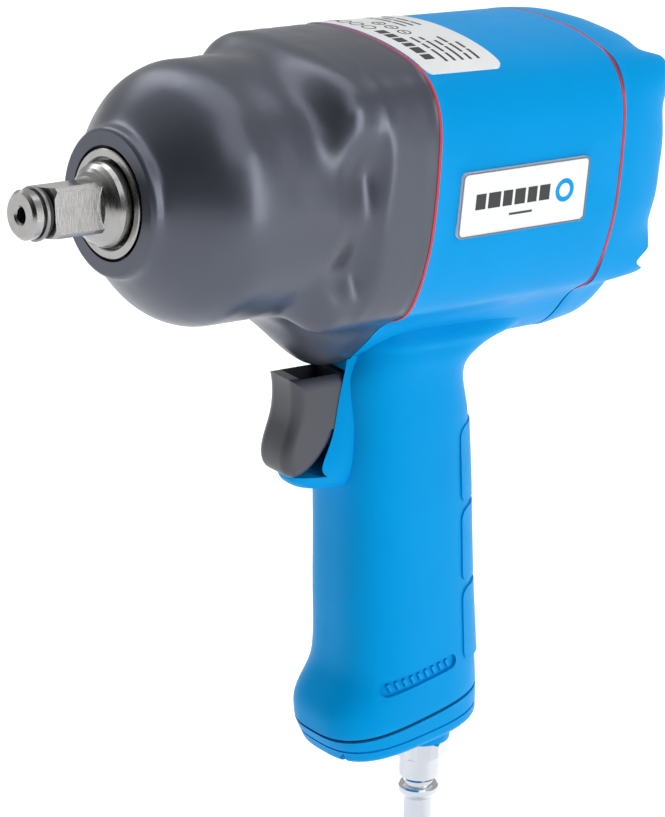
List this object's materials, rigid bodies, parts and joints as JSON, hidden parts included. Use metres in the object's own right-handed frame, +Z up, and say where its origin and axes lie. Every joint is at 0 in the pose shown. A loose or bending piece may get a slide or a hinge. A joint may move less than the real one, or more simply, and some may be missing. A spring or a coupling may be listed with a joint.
{
  "type": "pneumatic impact wrench",
  "caption": "Pistol grip air impact wrench with a twin hammer case, square drive, trigger, exhaust foot and quick-connect air plug.",
  "frame": {"origin": "on the drive axis, in the plane where a socket stops against the drive shoulder", "axes": "-Y along the drive axis, out of the square drive; +Z up, away from the handle; +X to the tool's left, the side with the trigger finger of a right hand"},
  "size_m": [0.071, 0.189, 0.2375],
  "materials": {
    "case_grey": "satin grey paint over cast aluminium",
    "body_blue": "satin blue moulded composite",
    "gasket_red": "matte sheet gasket",
    "grip_grey": "satin",
    "bright_steel": "ground",
    "tool_steel": "machined, lightly oiled",
    "dark_steel": "black oxide",
    "bronze": "sintered",
    "cast": "ground faces",
    "plug_chrome": "bright plated",
    "black_rubber": "matte",
    "badge_white": "gloss",
    "label_white": "laminated",
    "vane": "laminated resin",
    "felt": "felt",
    "knob_black": "satin"
  },
  "bodies": {
    "body": {"hammer_case": "case_grey", "anvil_bushing": "bright_steel", "thrust_washer": "bronze", "front_gasket": "gasket_red", "front_end_plate": "cast", "front_bearing_outer": "bright_steel", "front_bearing_balls": "bright_steel", "cylinder_liner": "cast", "liner_dowel": "bright_steel", "rear_end_plate": "cast", "rear_bearing_outer": "bright_steel", "rear_bearing_balls": "bright_steel", "rear_gasket": "gasket_red", "rear_cover": "body_blue", "cover_bolts": "dark_steel", "bolt_washers": "bright_steel", "detent_ball": "bright_steel", "detent_spring": "bright_steel", "motor_housing": "body_blue", "stem_guide": "bronze", "valve_seat": "bronze", "throttle_spring": "bright_steel", "spring_seat": "tool_steel", "inlet_bushing": "tool_steel", "inlet_screen": "tool_steel", "air_plug": "plug_chrome", "base_gasket": "black_rubber", "exhaust_deflector": "body_blue", "exhaust_muffler": "felt", "badge_left": "badge_white", "badge_right": "badge_white", "rating_label": "label_white"},
    "anvil": {"anvil": "bright_steel", "socket_ring": "tool_steel", "retainer_o_ring": "black_rubber"},
    "motor": {"rotor": "tool_steel", "rotor_vanes": "vane", "front_bearing_inner": "bright_steel", "rear_bearing_inner": "bright_steel", "hammer_cage": "tool_steel", "hammer_pins": "bright_steel"},
    "front_dog": {"hammer_dog_front": "tool_steel"},
    "rear_dog": {"hammer_dog_rear": "tool_steel"},
    "trigger": {"trigger": "grip_grey", "trigger_stem": "bright_steel", "trigger_pin": "tool_steel"},
    "throttle": {"throttle_valve": "bronze"},
    "reverse_knob": {"reverse_knob": "knob_black", "reverse_spool": "bronze", "knob_screw": "dark_steel"}
  },
  "joints": [
    {"name": "anvil_spin", "type": "hinge", "parent": "body", "child": "anvil", "pos_m": [0, 0, 0], "axis": [0, 1, 0], "continuous": true},
    {"name": "motor_spin", "type": "hinge", "parent": "body", "child": "motor", "pos_m": [0, 0.1, 0], "axis": [0, 1, 0], "continuous": true},
    {"name": "front_dog_rock", "type": "hinge", "parent": "motor", "child": "front_dog", "pos_m": [0, 0.0403, 0.021], "axis": [0, 1, 0], "range_deg": [-6, 6]},
    {"name": "rear_dog_rock", "type": "hinge", "parent": "motor", "child": "rear_dog", "pos_m": [0, 0.0533, -0.021], "axis": [0, 1, 0], "range_deg": [-6, 6]},
    {"name": "trigger_slide", "type": "slide", "parent": "body", "child": "trigger", "axis": [0, 1, 0], "range_m": [0, 0.005], "stiffness_N_per_m": 1200, "springref_m": -0.004},
    {"name": "throttle_tilt", "type": "hinge", "parent": "body", "child": "throttle", "pos_m": [0, 0.1081, -0.08805], "axis": [-1, 0, 0], "range_deg": [0, 13.8], "deforming": ["throttle_spring"]},
    {"name": "reverse_turn", "type": "hinge", "parent": "body", "child": "reverse_knob", "pos_m": [0, 0.16, -0.0355], "axis": [0, -1, 0], "range_deg": [-60, 60]}
  ],
  "couplings": [
    {"joint": "throttle_tilt", "follows": "trigger_slide", "rad_per_m": 48}
  ]
}
